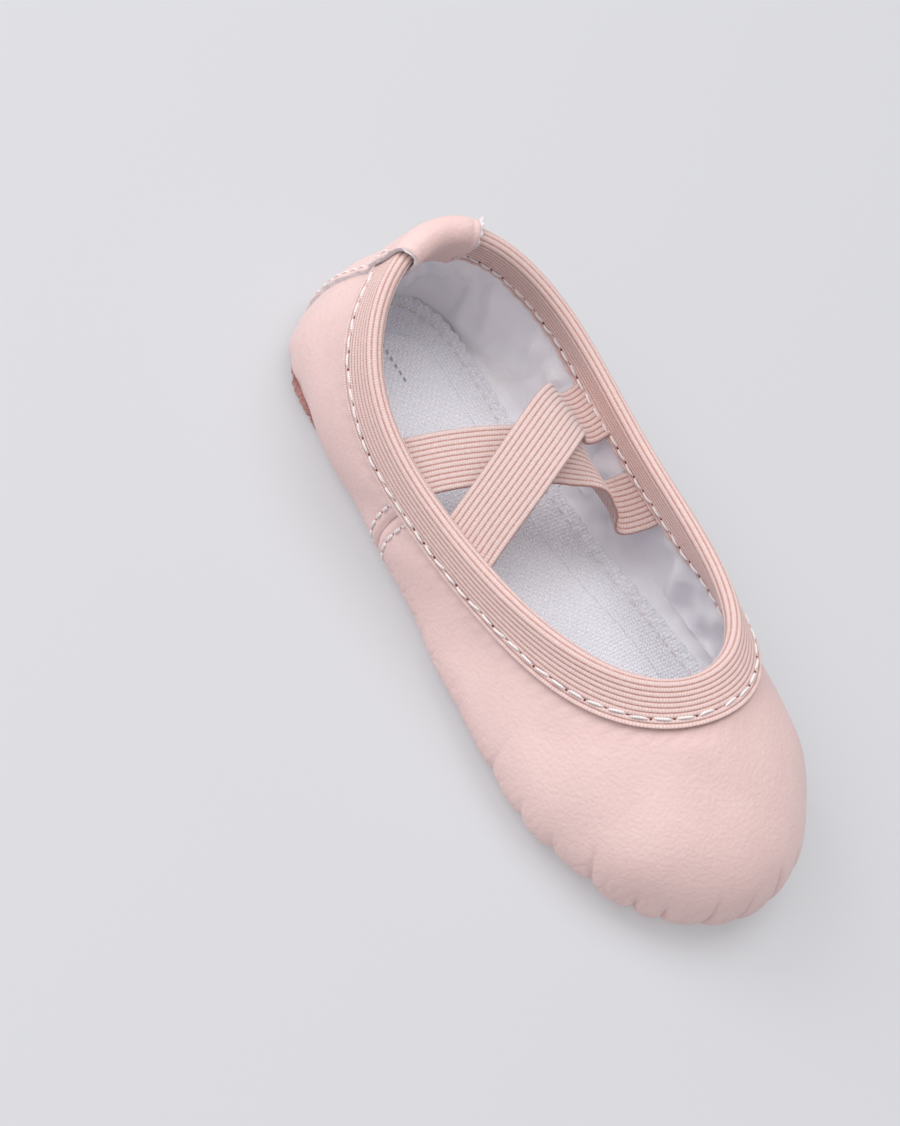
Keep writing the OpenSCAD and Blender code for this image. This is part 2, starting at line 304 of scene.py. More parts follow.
def spline(points, count):
    """Smooth curve through points, evenly spaced."""
    points = np.asarray(points, float)
    padded = np.vstack([2 * points[0] - points[1], points, 2 * points[-1] - points[-2]])
    t = np.linspace(0, len(points) - 1, 40 * len(points))
    i = np.minimum(t.astype(int), len(points) - 2)
    f = column(t - i)
    p0, p1, p2, p3 = padded[i], padded[i + 1], padded[i + 2], padded[i + 3]
    curve = 0.5 * (
        2 * p1 + (p2 - p0) * f + (2 * p0 - 5 * p1 + 4 * p2 - p3) * f**2
        + (3 * p1 - p0 - 3 * p2 + p3) * f**3
    )
    for _ in range(12):
        curve[1:-1] = (curve[:-2] + 2 * curve[1:-1] + curve[2:]) / 4
    return even(curve, count)


def distances(line):
    """Distance of each point of a polyline from its start."""
    return np.concatenate([[0], np.cumsum(np.linalg.norm(np.diff(line, axis=0), axis=1))])


def even(curve, count):
    """The same polyline with evenly spaced points."""
    length = distances(curve)
    at = np.linspace(0, length[-1], count)
    return np.stack([np.interp(at, length, curve[:, k]) for k in range(3)], -1)


# ---------------------------------------------------------------- meshes

COLLECTION = bpy.context.scene.collection


def quads(index):
    corners = (index[:-1, :-1], index[1:, :-1], index[1:, 1:], index[:-1, 1:])
    return np.stack(corners, -1).reshape(-1, 4)


def make_mesh(name, points, faces, uvs, marks, materials, sharp=50):
    mesh = bpy.data.meshes.new(name)
    mesh.vertices.add(len(points))
    mesh.vertices.foreach_set("co", (points * MM).astype(np.float32).ravel())
    mesh.loops.add(faces.size)
    mesh.loops.foreach_set("vertex_index", faces.astype(np.int32).ravel())
    mesh.polygons.add(len(faces))
    mesh.polygons.foreach_set("loop_start", np.arange(0, faces.size, 4, dtype=np.int32))
    mesh.polygons.foreach_set("material_index", marks.astype(np.int32))
    mesh.polygons.foreach_set("use_smooth", np.ones(len(faces), bool))
    mesh.update(calc_edges=True)
    layer = mesh.uv_layers.new(name="UVMap")
    layer.data.foreach_set("uv", uvs.astype(np.float32).ravel())
    mesh.set_sharp_from_angle(angle=math.radians(sharp))
    for item in materials:
        mesh.materials.append(item)
    mesh.validate()
    obj = bpy.data.objects.new(name, mesh)
    COLLECTION.objects.link(obj)
    return obj


def shell(name, outer, inner, materials, uv=None, ring=False, rim=0, sharp=50):
    """Solid sheet between two grids of points; a ring closes on itself."""
    m, n = outer.shape[:2]
    points = np.concatenate([outer.reshape(-1, 3), inner.reshape(-1, 3)])
    wrap = np.arange(m + ring)
    o = (wrap % m)[:, None] * n + np.arange(n)
    i = o + m * n
    flat = wrap[:, None] * n + np.arange(n)
    if uv is None:
        uv = np.zeros((m + ring, n, 2))
    uv = uv.reshape(-1, 2)
    faces, corners, marks = [], [], []

    def put(index, at, mark):
        faces.append(quads(index))
        corners.append(uv[quads(at)])
        marks.append(np.full(len(faces[-1]), mark))

    put(o, flat, 0)
    put(i[::-1], flat[::-1], 0)
    put(np.stack([i[:, 0], o[:, 0]], 1), np.stack([flat[:, 0]] * 2, 1), rim)
    put(np.stack([o[:, -1], i[:, -1]], 1), np.stack([flat[:, -1]] * 2, 1), rim)
    if not ring:
        put(np.stack([i[0], o[0]]), np.stack([flat[0]] * 2), rim)
        put(np.stack([o[-1], i[-1]]), np.stack([flat[-1]] * 2), rim)
    return make_mesh(
        name, points, np.concatenate(faces), np.concatenate(corners), np.concatenate(marks),
        materials, sharp,
    )


def threads(name, starts, ends, normals, material, radius, bow, sink=0.25, steps=9, sides=8):
    """Visible lengths of thread: bent, round, with both ends going down into the material."""
    t = np.linspace(0, 1, steps)[None, :, None]
    s, e, up = (np.asarray(x, float)[:, None] for x in (starts, ends, normals))
    lift = (bow + sink) * np.sin(math.pi * t) ** 0.5 - sink
    centre = s * (1 - t) + e * t + up * lift
    tangent = unit(np.gradient(centre, axis=1))
    first = unit(np.cross(tangent, up + 0 * tangent))
    second = np.cross(first, tangent)
    round_ = np.linspace(0, 2 * math.pi, sides, endpoint=False)
    fat = radius * (1 - np.abs(2 * t - 1) ** 6 * 0.75)
    rings = centre[:, :, None] + (
        first[:, :, None] * np.cos(round_)[None, None, :, None]
        + second[:, :, None] * np.sin(round_)[None, None, :, None]
    ) * fat[:, :, None]

    def around_quads(index):
        corners = (index[:, :-1, :-1], index[:, :-1, 1:], index[:, 1:, 1:], index[:, 1:, :-1])
        return np.stack(corners, -1).reshape(-1, 4)

    count = len(rings)
    index = np.arange(count * steps * sides).reshape(count, steps, sides)
    loop = np.concatenate([index, index[:, :, :1]], 2)
    faces = around_quads(loop)
    far = np.linalg.norm(e - s, axis=-1)
    u = far[:, :, None] * np.linspace(0, 1, steps)[None, :, None] + 0 * loop
    w = np.linspace(0, 1, sides + 1)[None, None, :] + 0 * u
    uv = np.stack([u, w], -1).reshape(-1, 2)
    at = np.arange(count * steps * (sides + 1)).reshape(count, steps, sides + 1)
    marks = np.zeros(len(faces))
    return make_mesh(name, rings.reshape(-1, 3), faces, uv[around_quads(at)], marks, [material], 80)


# ---------------------------------------------------------------- materials


class Nodes:
    """A small helper round one material's node tree."""

    def __init__(self, name):
        self.material = bpy.data.materials.new(name)
        self.material.use_nodes = True
        self.tree = self.material.node_tree
        self.shader = self.tree.nodes["Principled BSDF"]

    def add(self, kind, inputs=None, **settings):
        node = self.tree.nodes.new(kind)
        for key, value in settings.items():
            setattr(node, key, value)
        for key, value in (inputs or {}).items():
            self.put(node.inputs[key], value)
        return node

    def put(self, socket, value):
        if isinstance(value, bpy.types.NodeSocket):
            self.tree.links.new(value, socket)
        else:
            socket.default_value = value

    def set(self, **values):
        for key, value in values.items():
            self.put(self.shader.inputs[key.replace("_", " ")], value)

    def place(self):
        return self.add("ShaderNodeTexCoord").outputs["Object"]

    def noise(self, vector, scale, detail=3.0, roughness=0.55, distortion=0.0):
        inputs = {
            "Vector": vector, "Scale": scale, "Detail": detail,
            "Roughness": roughness, "Distortion": distortion,
        }
        return self.add("ShaderNodeTexNoise", inputs).outputs["Fac"]

    def math(self, operation, first, second=0.0):
        return self.add("ShaderNodeMath", {0: first, 1: second}, operation=operation).outputs[0]

    def spread(self, value, low, high, to_low=0.0, to_high=1.0):
        inputs = {"Value": value, "From Min": low, "From Max": high, "To Min": to_low, "To Max": to_high}
        return self.add("ShaderNodeMapRange", inputs).outputs["Result"]

    def mix(self, factor, first, second):
        node = self.add("ShaderNodeMix", data_type="RGBA")
        self.put(node.inputs["Factor"], factor)
        self.put(node.inputs[6], first)
        self.put(node.inputs[7], second)
        return node.outputs[2]

    def bump(self, height, distance, strength=1.0, normal=None):
        node = self.add("ShaderNodeBump", {"Height": height, "Distance": distance, "Strength": strength})
        if normal is not None:
            self.put(node.inputs["Normal"], normal)
        return node.outputs["Normal"]

    def uv(self):
        split = self.add("ShaderNodeSeparateXYZ", {0: self.add("ShaderNodeTexCoord").outputs["UV"]})
        return split.outputs[0], split.outputs[1]

    def wave(self, value, pitch):
        """0 to 1 and back once every pitch."""
        turn = self.math("MULTIPLY", value, 2 * math.pi / pitch)
        return self.math("MULTIPLY_ADD", self.math("SINE", turn), 0.5)


def rgb(red, green, blue):
    """Linear colour of an sRGB one given in 0 to 255."""
    def linear(c):
        c = c / 255
        return c / 12.92 if c <= 0.04045 else ((c + 0.055) / 1.055) ** 2.4
    return (linear(red), linear(green), linear(blue), 1.0)


def leather_material():
    n = Nodes("pink_leather")
    at = n.place()
    cloud = n.noise(at, 28, 3)
    fine = n.noise(at, 420, 3)
    grain = n.add("ShaderNodeTexVoronoi", {"Vector": at, "Scale": 1150}, feature="SMOOTH_F1")
    pores = n.noise(at, 2600, 2)
    colour = n.mix(n.spread(cloud, 0.35, 0.65), rgb(228, 195, 191), rgb(234, 203, 199))
    colour = n.mix(n.spread(fine, 0.3, 0.8, 0, 0.16), colour, rgb(216, 174, 169))
    n.set(Base_Color=colour, Roughness=n.spread(fine, 0.3, 0.7, 0.46, 0.6))
    n.set(Specular_IOR_Level=0.42, Sheen_Weight=0.12, Sheen_Roughness=0.5)
    creases = n.bump(n.noise(at, 150, 5, 0.65), 0.0006, 0.26)
    cells = n.bump(grain.outputs["Distance"], 0.0003, 0.4, creases)
    n.set(Normal=n.bump(pores, 0.00008, 0.25, cells))
    return n.material


def raw_edge_material():
    n = Nodes("raw_edge")
    at = n.place()
    fibre = n.noise(at, 1500, 4, 0.7)
    n.set(Base_Color=n.mix(fibre, rgb(214, 196, 198), rgb(246, 243, 247)), Roughness=0.95)
    n.set(Sheen_Weight=0.3, Normal=n.bump(fibre, 0.0005, 0.9))
    return n.material


def suede_material():
    n = Nodes("rose_suede")
    at = n.place()
    nap = n.noise(at, 1300, 5, 0.75, 0.6)
    clumps = n.noise(at, 330, 4, 0.65)
    cloud = n.noise(at, 60, 3)
    colour = n.mix(n.spread(nap, 0.38, 0.66), rgb(158, 96, 92), rgb(224, 168, 160))
    colour = n.mix(n.spread(clumps, 0.4, 0.75, 0, 0.5), colour, rgb(176, 108, 104))
    colour = n.mix(n.spread(cloud, 0.35, 0.7, 0, 0.25), colour, rgb(206, 142, 136))
    n.set(Base_Color=colour, Roughness=1.0, Sheen_Weight=0.5, Sheen_Roughness=0.6)
    n.set(Specular_IOR_Level=0.1)
    n.set(Normal=n.bump(nap, 0.0006, 0.9, n.bump(clumps, 0.0008, 0.5)))
    return n.material


def lining_material():
    n = Nodes("white_lining")
    u, v = n.uv()
    at = n.place()
    knit = n.math("ADD", n.wave(u, 0.42), n.wave(v, 0.6))
    cloud = n.noise(at, 45, 3)
    colour = n.mix(n.spread(cloud, 0.35, 0.7), rgb(254, 252, 255), rgb(248, 245, 253))
    n.set(Base_Color=colour, Roughness=0.52, Sheen_Weight=0.35, Sheen_Roughness=0.35)
    n.set(Normal=n.bump(knit, 0.00007, 0.5, n.bump(n.noise(at, 220, 3), 0.0004, 0.25)))
    return n.material


def canvas_material():
    n = Nodes("white_canvas")
    u, v = n.uv()
    at = n.place()
    pitch = 0.95
    over_u, over_v = n.wave(u, pitch), n.wave(v, pitch)
    turn = n.math("ADD", n.math("MULTIPLY", u, math.pi / pitch), 0.4)
    turn_v = n.math("MULTIPLY", v, math.pi / pitch)
    plain = n.math("MULTIPLY", n.math("SINE", turn), n.math("SINE", turn_v))
    yarn = n.math("MULTIPLY", over_u, over_v)
    height = n.math("ADD", yarn, n.math("MULTIPLY", plain, 0.35))
    slub = n.noise(at, 700, 3, 0.6)
    # painted shade: darker, bluish grey in the gaps between the yarns
    gap_shade = n.spread(yarn, 0.02, 0.4, 0.6, 0.0)
    colour = n.mix(gap_shade, rgb(250, 250, 253), rgb(220, 219, 232))
    colour = n.mix(n.spread(slub, 0.35, 0.75, 0, 0.2), colour, rgb(234, 232, 242))
    n.set(Base_Color=colour, Roughness=0.9, Sheen_Weight=0.2)
    n.set(Normal=n.bump(height, 0.00028, 0.8, n.bump(slub, 0.0002, 0.5)))
    return n.material


def elastic_material(name, rib, shaded_groove, weft=0.62):
    """Ribbed elastic: v of the UV map counts ribs, u is in millimetres along them."""
    n = Nodes(name)
    u, v = n.uv()
    at = n.place()
    crown = n.math("ABSOLUTE", n.math("SINE", n.math("MULTIPLY", v, math.pi)))
    fuzz = n.noise(at, 1500, 3, 0.7)
    # the cross threads step by half a pitch from rib to rib
    shift = n.math("MULTIPLY", n.math("FLOOR", v), weft * 0.5)
    cross = n.wave(n.math("ADD", n.math("ADD", u, shift), n.math("MULTIPLY", fuzz, 0.25)), weft)
    # painted shade: the colour darkens from the rib colour on the crowns to the groove colour down between
    # the ribs
    colour = n.mix(n.spread(crown, 0.12, 0.72), shaded_groove, rib)
    # painted shade in the dips between the cross threads, a share of the groove colour
    colour = n.mix(n.math("MULTIPLY", n.spread(cross, 0.45, 1.0), 0.34), colour, shaded_groove)
    colour = n.mix(n.spread(fuzz, 0.45, 0.75, 0, 0.25), colour, rgb(250, 238, 234))
    n.set(Base_Color=colour, Roughness=0.85, Sheen_Weight=0.25, Sheen_Roughness=0.5)
    n.set(Specular_IOR_Level=0.25)
    n.set(Normal=n.bump(cross, 0.0001, 0.5, n.bump(fuzz, 0.00014, 0.6)))
    return n.material


def thread_material(name="white_thread", light=(250, 244, 244), ply_shade=(226, 212, 212)):
    n = Nodes(name)
    u, w = n.uv()
    ply = n.wave(n.math("ADD", u, n.math("MULTIPLY", w, 0.5)), 0.5)
    # painted shade: the darker colour lies along the twist between the plies
    n.set(Base_Color=n.mix(ply, rgb(*ply_shade), rgb(*light)), Roughness=0.6, Sheen_Weight=0.2)
    n.set(Normal=n.bump(ply, 0.00012, 0.7))
    return n.material


def hole_shade_material():
    n = Nodes("needle_hole_shade")
    at = n.place()
    # painted shade: a dark brown that stands for the shade down in a needle hole
    n.set(Base_Color=n.mix(n.noise(at, 900, 2), rgb(92, 52, 50), rgb(128, 78, 74)), Roughness=1.0)
    n.set(Specular_IOR_Level=0.1)
    return n.material


def foam_material():
    n = Nodes("cream_foam")
    at = n.place()
    cells = n.add("ShaderNodeTexVoronoi", {"Vector": at, "Scale": 1400}).outputs["Distance"]
    n.set(Base_Color=n.mix(cells, rgb(214, 204, 186), rgb(240, 233, 218)), Roughness=0.9)
    n.set(Normal=n.bump(cells, 0.0004, 0.8))
    return n.material


def floor_material():
    n = Nodes("floor_grey")
    at = n.place()
    tone = n.noise(at, 3, 2)
    n.set(Base_Color=n.mix(tone, rgb(157, 157, 160), rgb(159, 159, 162)), Roughness=1.0)
    n.set(Specular_IOR_Level=0.0, Emission_Color=rgb(223, 223, 226), Emission_Strength=0.4)
    return n.material


leather = leather_material()
raw_edge = raw_edge_material()
suede = suede_material()
lining = lining_material()
canvas = canvas_material()
# the second colour of each elastic is painted shade for its grooves
binding_elastic = elastic_material("binding_elastic", rgb(225, 198, 193), rgb(188, 138, 131))
strap_elastic = elastic_material("strap_elastic", rgb(216, 194, 190), rgb(188, 138, 130))
thread = thread_material()
# the grey thread's second colour is painted shade between its plies
grey_thread = thread_material("grey_thread", (176, 172, 184), (146, 142, 154))
hole = hole_shade_material()
foam = foam_material()


# ---------------------------------------------------------------- riding


def finish_piece(obj, nodes, body=None):
    """Hides the CAD nodes that a piece stands for; with a body it hangs on that body's empty, without one
    its transform goes into its mesh.
    """
    if nodes:
        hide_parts(*nodes)
    if body:
        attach(obj, body)
    else:
        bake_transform(obj)


def sew(name, node, starts, ends, normals, radius, bow, body=None, sink=0.25):
    """White stitches that stand for a CAD node's."""
    obj = threads(name, starts, ends, normals, thread, radius, bow, sink)
    finish_piece(obj, [node], body)


def needle_holes(name, centres, normals, ways, radius=0.34, body=None):
    """Painted shade: dark pricks where the needle went in."""
    half = unit(ways) * 0.35
    obj = threads(name, centres - half, centres + half, normals, hole, radius, bow=-0.2, sink=0.3, steps=5)
    finish_piece(obj, [], body)


def end_holes(name, starts, ends, normals, radius=0.34, body=None):
    """Painted shade of a needle hole at both ends of each stitch."""
    twice = [np.concatenate([x, x]) for x in (normals, ends - starts)]
    needle_holes(name, np.concatenate([starts, ends]), *twice, radius, body)


# ---------------------------------------------------------------- leather panels

PLEATS = 17
PLEAT_SPAN = math.radians(76)
PLEAT_HEIGHT = 1.9
# radius at the toe that turns a station's angle into a distance
PLEAT_RADIUS = 46
CREASE_DEPTH = 0.42
pleat_rng = np.random.default_rng(7)
pleat_lines = np.linspace(-PLEAT_SPAN, PLEAT_SPAN, PLEATS + 1)
pleat_lines += pleat_rng.uniform(-0.022, 0.022, PLEATS + 1)
pleat_rise = pleat_rng.uniform(17, 29, PLEATS + 1)


def pleats(a, height):
    """Gathers round the toe: rounded ridges with sharp valleys that fade up the wall."""
    cell = np.clip(np.searchsorted(pleat_lines, a) - 1, 0, PLEATS - 1)
    low, high = pleat_lines[cell], pleat_lines[cell + 1]
    share = np.clip((a - low) / (high - low), 0, 1)
    reach = pleat_rise[cell] * (1 - share) + pleat_rise[cell + 1] * share
    ridge = (1 - np.abs(2 * share - 1) ** 3) ** 0.6
    fade = smooth(1 - np.clip(height, 0, None) / reach)
    span = smooth((PLEAT_SPAN + 0.02 - np.abs(a)) / 0.3)
    deep = 1 + 0.25 * smooth(-height / 8)
    # a sharp crease runs on up the wall from each valley
    off = np.minimum(share, 1 - share) * (high - low) * PLEAT_RADIUS
    on = smooth((height + 3) / 4) * smooth((0.9 * reach - height) / 5) * smooth((0.95 - np.abs(a)) / 0.5)
    crease = CREASE_DEPTH * mound(off, 0, 0.42) * on
    return PLEAT_HEIGHT * (ridge - 0.62) * fade * span * deep - crease


def heel_gathers(a, height):
    """Softer gathers under the heel."""
    off = np.abs(np.abs(a) - math.pi)
    ridge = np.abs(np.sin(a * 19 + 0.6 * np.sin(a * 5)))
    return 0.8 * (ridge - 0.6) * smooth(1 - np.clip(height, 0, None) / 9) * smooth((0.85 - off) / 0.3)


def leather_panel(name, side, columns, nodes, body):
    flange_rows, wall_rows = 22, 92
    base = panel(side, 0, columns, flange_rows, wall_rows)
    under = panel(side, LEATHER, columns, flange_rows, wall_rows)
    k = np.linspace(0, 1, columns)[:, None]
    v = np.concatenate([np.zeros(flange_rows), np.linspace(0, 1, wall_rows)])[None, :]
    a = panel_angle(side, k, v)
    normals = grid_normals(base)
    length = run(base, 1)
    height = length - length[:, flange_rows : flange_rows + 1]
    # distance from the side seam, which the vamp has at both ends
    across = run(base, 0)
    to_last = across[-1:] - across
    edge = {0: np.minimum(across, to_last), 1: across, -1: to_last}[side]
    below_top = length[:, -1:] - length
    free = smooth((below_top - BINDING_DROP) / 6)
    lift = pleats(a, height) if side == 0 else heel_gathers(a, height)
    lift = lift + free * (0.5 * waves(base, 30, 3) + 0.1 * waves(base, 12, 4, (1, 1, 1.6)))
    # hollow and soft creases where the side is pulled in behind the ball
    lift = lift + free * smooth((26 - edge) / 20) * 0.42 * waves(base, 15, 5, (1.8, 1, 1))
    # butt seam rolled in, and the pull of its topstitching
    lift = lift - 0.75 * mound(edge, 0, 0.7) + 0.1 * mound(edge, 1.5, 0.8)
    lift = lift - 0.22 * mound(edge, SEAM_ROW, 0.6)
    # small puckers along the binding's lower edge
    pucker = np.sin(2 * math.pi * across / 4.0)
    lift = lift + 0.1 * pucker * smooth(1 - np.abs(below_top - BINDING_DROP - 1.5) / 4)
    # fine broken creases where the gathers run out
    fine = np.abs(waves(base, 4.2, 8, (1, 1, 3.5))) < 0.16
    lift = lift - 0.16 * fine * smooth((height - 2) / 5) * smooth((20 - height) / 9) * (side == 0)
    # flat over the patches
    clear = outside_patch(base, FORE_PATCH) * outside_patch(base, HEEL_PATCH)
    clear = np.where(height > 3, 1, clear)
    outer = base + normals * column(lift * clear)
    outer[..., 2] = np.maximum(outer[..., 2], LEATHER_Z - 0.05 - 1.1 * clear)
    inner = under + normals * column(np.minimum(lift, 0) * 0.3)
    uv = np.stack([across, length], -1)
    obj = shell(name, outer, inner, [leather, raw_edge], uv, rim=1, sharp=60)
    finish_piece(obj, nodes, body)
    return {"outer": outer, "edge": edge, "height": height, "below": below_top}


vamp = leather_panel("vamp_leather", 0, 620, ["vamp"], None)
left = leather_panel("left_quarter_leather", 1, 190, ["left_quarter"], None)
right = leather_panel("right_quarter_leather", -1, 190, ["right_quarter"], None)


SEAM_STITCH = 3.0
SEAM_FROM = -6.0


def panel_row(grids, which):
    """Stitches up the side seam, beside the first (0) or last (-1) column of a panel."""
    outer, edge = grids["outer"], grids["edge"]
    count, rows = outer.shape[0], np.arange(outer.shape[1])
    # one half of the panel's columns, from its seam inwards
    inward = np.arange(count // 2) if which == 0 else np.arange(count // 2, count)[::-1]
    columns = np.array([np.interp(SEAM_ROW, edge[inward, j], inward) for j in rows])
    far = distances(sample(outer, columns, rows))
    height = sample(column(grids["height"]), columns, rows)[:, 0]
    below = sample(column(grids["below"]), columns, rows)[:, 0]
    keep = (height > SEAM_FROM) & (below > BINDING_DROP - 1)
    at = np.arange(far[keep][0], far[keep][-1] - SEAM_STITCH, STITCH_PITCH)
    r0, r1 = np.interp(at, far, rows), np.interp(at + SEAM_STITCH, far, rows)
    c0, c1 = np.interp(r0, rows, columns), np.interp(r1, rows, columns)
    normal = unit(sample(grid_normals(outer), (c0 + c1) / 2, (r0 + r1) / 2))
    return sample(outer, c0, r0), sample(outer, c1, r1), normal


for name, sides in (("vamp_seam", ((vamp, 0), (vamp, -1))), ("quarter_seam", ((left, 0), (right, -1)))):
    rows = [panel_row(grids, which) for grids, which in sides]
    starts, ends, ups = (np.concatenate(x) for x in zip(*rows))
    sew(name + "_thread", name + "_stitching", starts, ends, ups, 0.42, 0.36)
    end_holes(name + "_thread_holes", starts, ends, ups)

# ---------------------------------------------------------------- linings


def lining_panel(name, side, columns, nodes):
    flange_rows, wall_rows = 8, 70
    back = panel(side, LINING_DEPTH, columns, flange_rows, wall_rows, LINING_FROM)
    base = panel(side, LINING_IN, columns, flange_rows, wall_rows, LINING_FROM)
    normals = -grid_normals(base)
    length = run(base, 1)
    top = smooth((length[:, -1:] - length - 9) / 8)
    bottom = smooth((length - length[:, flange_rows : flange_rows + 1]) / 6)
    # long soft folds that run down the wall, deeper in the toe
    folds = waves(base, 26, 21, (0.8, 1, 2.6)) + 0.45 * waves(base, 12, 22, (0.7, 1, 2.2))
    toe = smooth((base[..., 0] - 10) / 40)
    lift = top * bottom * (0.8 + (1.7 + 1.4 * toe) * folds)
    lift = np.maximum(lift, 0.0) + 0.1 * top * waves(base, 5, 23)
    inner = base + normals * column(lift)
    uv = np.stack([run(base, 0), length], -1)
    obj = shell(name, back, inner, [lining], uv)
    finish_piece(obj, nodes)


lining_panel("vamp_lining_cloth", 0, 420, ["vamp_lining"])
lining_panel("left_quarter_lining_cloth", 1, 150, ["left_quarter_lining"])
lining_panel("right_quarter_lining_cloth", -1, 150, ["right_quarter_lining"])

# ---------------------------------------------------------------- insole and pads


def middle(a, ends, inset):
    """Points of a flat piece's middle line, towards which its outline shrinks."""
    x = sum(ends) / 2 + ((ends[1] - ends[0]) / 2 - inset) * np.cos(a)
    return np.stack([x, 0 * x, 0 * x], -1)


def insole_piece():
    stations, rings = 720, 90
    a = np.linspace(0, 2 * math.pi, stations, endpoint=False)[:, None]
    r = np.linspace(0, 1, rings)[None, :]
    rim = ground(a) - sideways(ground, a) * 0.2
    rim[..., 2] = 0
    core = middle(a, SOLE_ENDS, 26)
    flat = core * (1 - column(r)) + rim * column(r)
    inset = np.linalg.norm(rim - flat, axis=-1)
    # the cushion under the middle, the stitched dip, and the puckered edge turned up the wall
    soft = smooth((inset - 11.5) / 1.6)
    dip = -0.3 * mound(inset, INSOLE_ROW, 0.9)
    turn = 0.9 * smooth(1 - inset / 2.6) ** 1.5
    far = run(rim, 0, True)[:-1]
    phase = 2 * math.pi * far / 3.3 + 1.4 * np.sin(far / 9) + 0.9 * np.sin(far / 3.7)
    pucker = np.sin(phase) * smooth(1 - inset / 5.5)
    ripple = 0.22 * waves(flat, 20, 31) + 0.1 * waves(flat, 7, 32) * smooth(1 - inset / 14)
    z = INSOLE_Z + INSOLE + soft + dip + turn + 0.2 * pucker + ripple
    top = flat + UP * column(z)
    top[..., :2] += sideways(ground, a)[..., :2] * column(0.2 * pucker * smooth(1 - inset / 2.5))
    bottom = top - UP * 0.9
    uv = flat[..., :2] + 0.5 * column(waves(flat, 40, 33))
    uv = np.concatenate([uv, uv[:1]], 0)
    obj = shell("insole_canvas", bottom, top, [canvas], uv, ring=True)
    finish_piece(obj, ["insole"])
    # stitches round the edge, sunk in the dip
    ring = np.interp(INSOLE_ROW, inset[0][::-1], np.arange(rings)[::-1])
    grid = np.concatenate([top, top[:1]], 0)
    s = np.arange(0, far[-1, 0], 3.3)
    starts, ends = (
        sample(grid, np.interp(s + d, far[:, 0], np.arange(stations)), ring + 0 * s) for d in (0.3, 2.6)
    )
    sew("insole_thread", "insole_stitching", starts, ends, np.tile(UP, (len(s), 1)), 0.26, 0.22)
    # a few grey stitches of the heel patch that come through
    x = np.arange(-76.0, -62.0, 2.1)
    starts = np.stack([x, 0 * x + 1.5, 0 * x + INSOLE_Z + INSOLE + 1.15], -1)
    ends = starts + [1.3, -0.15, 0]
    obj = threads("insole_grey_thread", starts, ends, np.tile(UP, (len(x), 1)), grey_thread, 0.15, 0.08)
    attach(obj, "heel")


insole_piece()


PAD_INSET = 1.4


def pad_piece(name, ends, half, node, body):
    """Thin foam pad, rounded at its edge, that fills the hole over a suede patch."""
    a = np.linspace(0, 2 * math.pi, 160, endpoint=False)[:, None]
    r = np.linspace(0, 1, 28)[None, :]
    x = sum(ends) / 2 + ((ends[1] - ends[0]) / 2 - PAD_INSET) * np.cos(a)
    rim = np.stack([x, (half - PAD_INSET) * np.sin(a), 0 * x], -1)
    flat = middle(a, ends, 12) * (1 - column(r)) + rim * column(r)
    inset = np.linalg.norm(rim - flat, axis=-1)
    crown = np.sqrt(np.clip(1 - (1 - np.clip(inset / 2.2, 0, 1)) ** 2, 0, 1))
    low, high = LEATHER_Z, INSOLE_Z - GAP
    mid = (low + high) / 2
    top = flat + UP * column(mid + (high - mid) * crown)
    bottom = flat + UP * column(mid - (mid - low) * crown)
    obj = shell(name, bottom, top, [foam], ring=True)
    finish_piece(obj, [node], body)


pad_piece("forefoot_foam", FORE_HOLE, FORE_HOLE_HALF, "forefoot_pad", None)
pad_piece("heel_foam", HEEL_HOLE, HEEL_HOLE_HALF, "heel_pad", "heel")

# ---------------------------------------------------------------- suede patches


def patch_line(a, patch, inset):
    (back, front), (rear_half, front_half) = patch
    t = np.cos(a)
    half = rear_half + (front_half - rear_half) * (1 + t) / 2 - inset
    x = (front + back) / 2 + ((front - back) / 2 - inset) * t
    y = np.sign(np.sin(a)) * half * np.sqrt(np.clip(1 - np.abs(t) ** PATCH_POWER, 0, None))
    return np.stack([x, y, 0 * x], -1)


